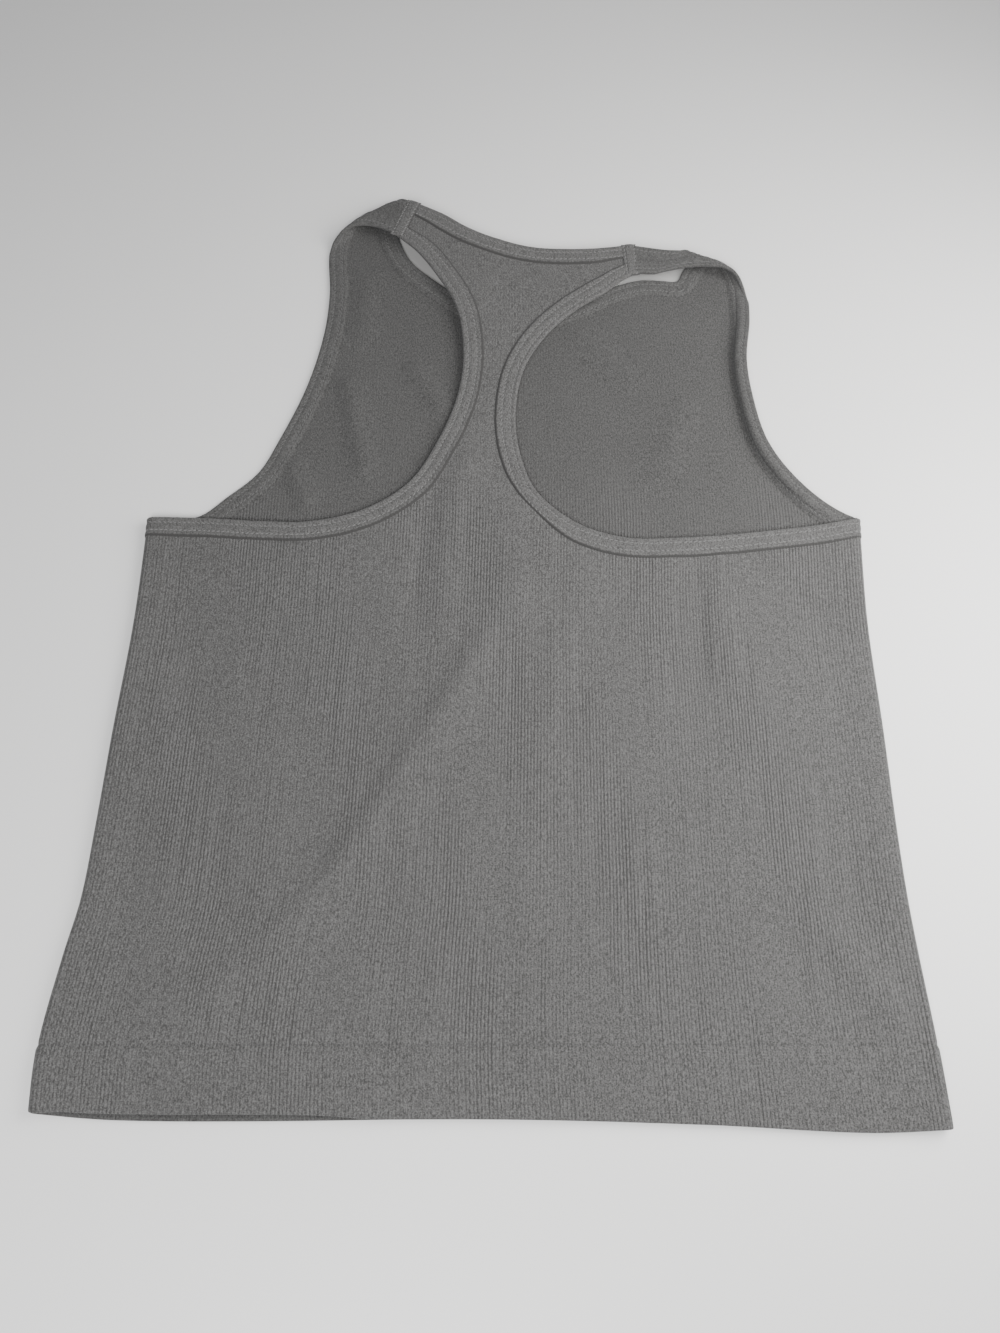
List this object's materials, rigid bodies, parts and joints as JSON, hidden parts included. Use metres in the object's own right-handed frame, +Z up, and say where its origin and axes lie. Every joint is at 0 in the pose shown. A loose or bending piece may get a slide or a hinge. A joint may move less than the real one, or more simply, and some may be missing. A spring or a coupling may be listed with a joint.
{
  "type": "tank top",
  "caption": "Sleeveless racerback tank top in fine rib knit with bound neck and armholes, laid flat with its back side up.",
  "frame": {"origin": "middle of the garment's box, on the surface that it lies on", "axes": "+Y from the hem to the shoulders, +X across the garment, +Z up from the surface"},
  "size_m": [0.4036, 0.534, 0.011],
  "materials": {
    "rib_knit": "mid grey fine rib knit, matt, slightly heathered",
    "binding_knit": "mid grey plain knit binding with twin-needle stitching"
  },
  "bodies": {
    "root": {"back_panel": "rib_knit", "front_panel": "rib_knit", "armhole_binding_left_back": "binding_knit", "armhole_binding_right_back": "binding_knit", "armhole_binding_left_front": "binding_knit", "armhole_binding_right_front": "binding_knit", "neck_binding_back": "binding_knit", "neck_binding_front": "binding_knit"}
  },
  "joints": []
}
